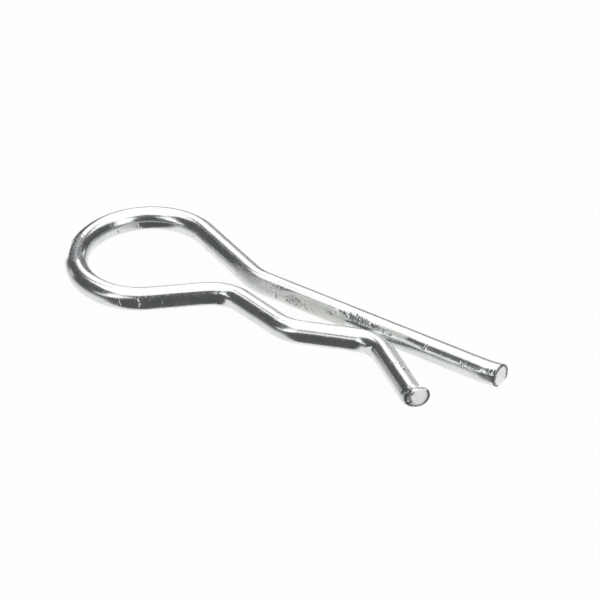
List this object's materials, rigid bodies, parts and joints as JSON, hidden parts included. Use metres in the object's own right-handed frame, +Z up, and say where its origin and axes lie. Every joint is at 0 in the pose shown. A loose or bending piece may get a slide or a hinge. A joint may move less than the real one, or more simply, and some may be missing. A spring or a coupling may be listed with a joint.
{
  "type": "hairpin cotter pin",
  "caption": "Flat hairpin cotter of round plated spring wire: a straight leg for a cross hole, a round eye, and a waved leg that snaps round the shaft.",
  "frame": {"origin": "on the floor under the middle of the outline, with the clip lying on its side", "axes": "+X along the straight leg to its tip, +Z up out of the plane of the bends, waved leg on the -Y side"},
  "size_m": [0.0502, 0.0168, 0.0024],
  "materials": {
    "plated_wire": "bright zinc plate over drawn spring steel wire"
  },
  "bodies": {
    "root": {"hairpin_cotter": "plated_wire"}
  },
  "joints": []
}
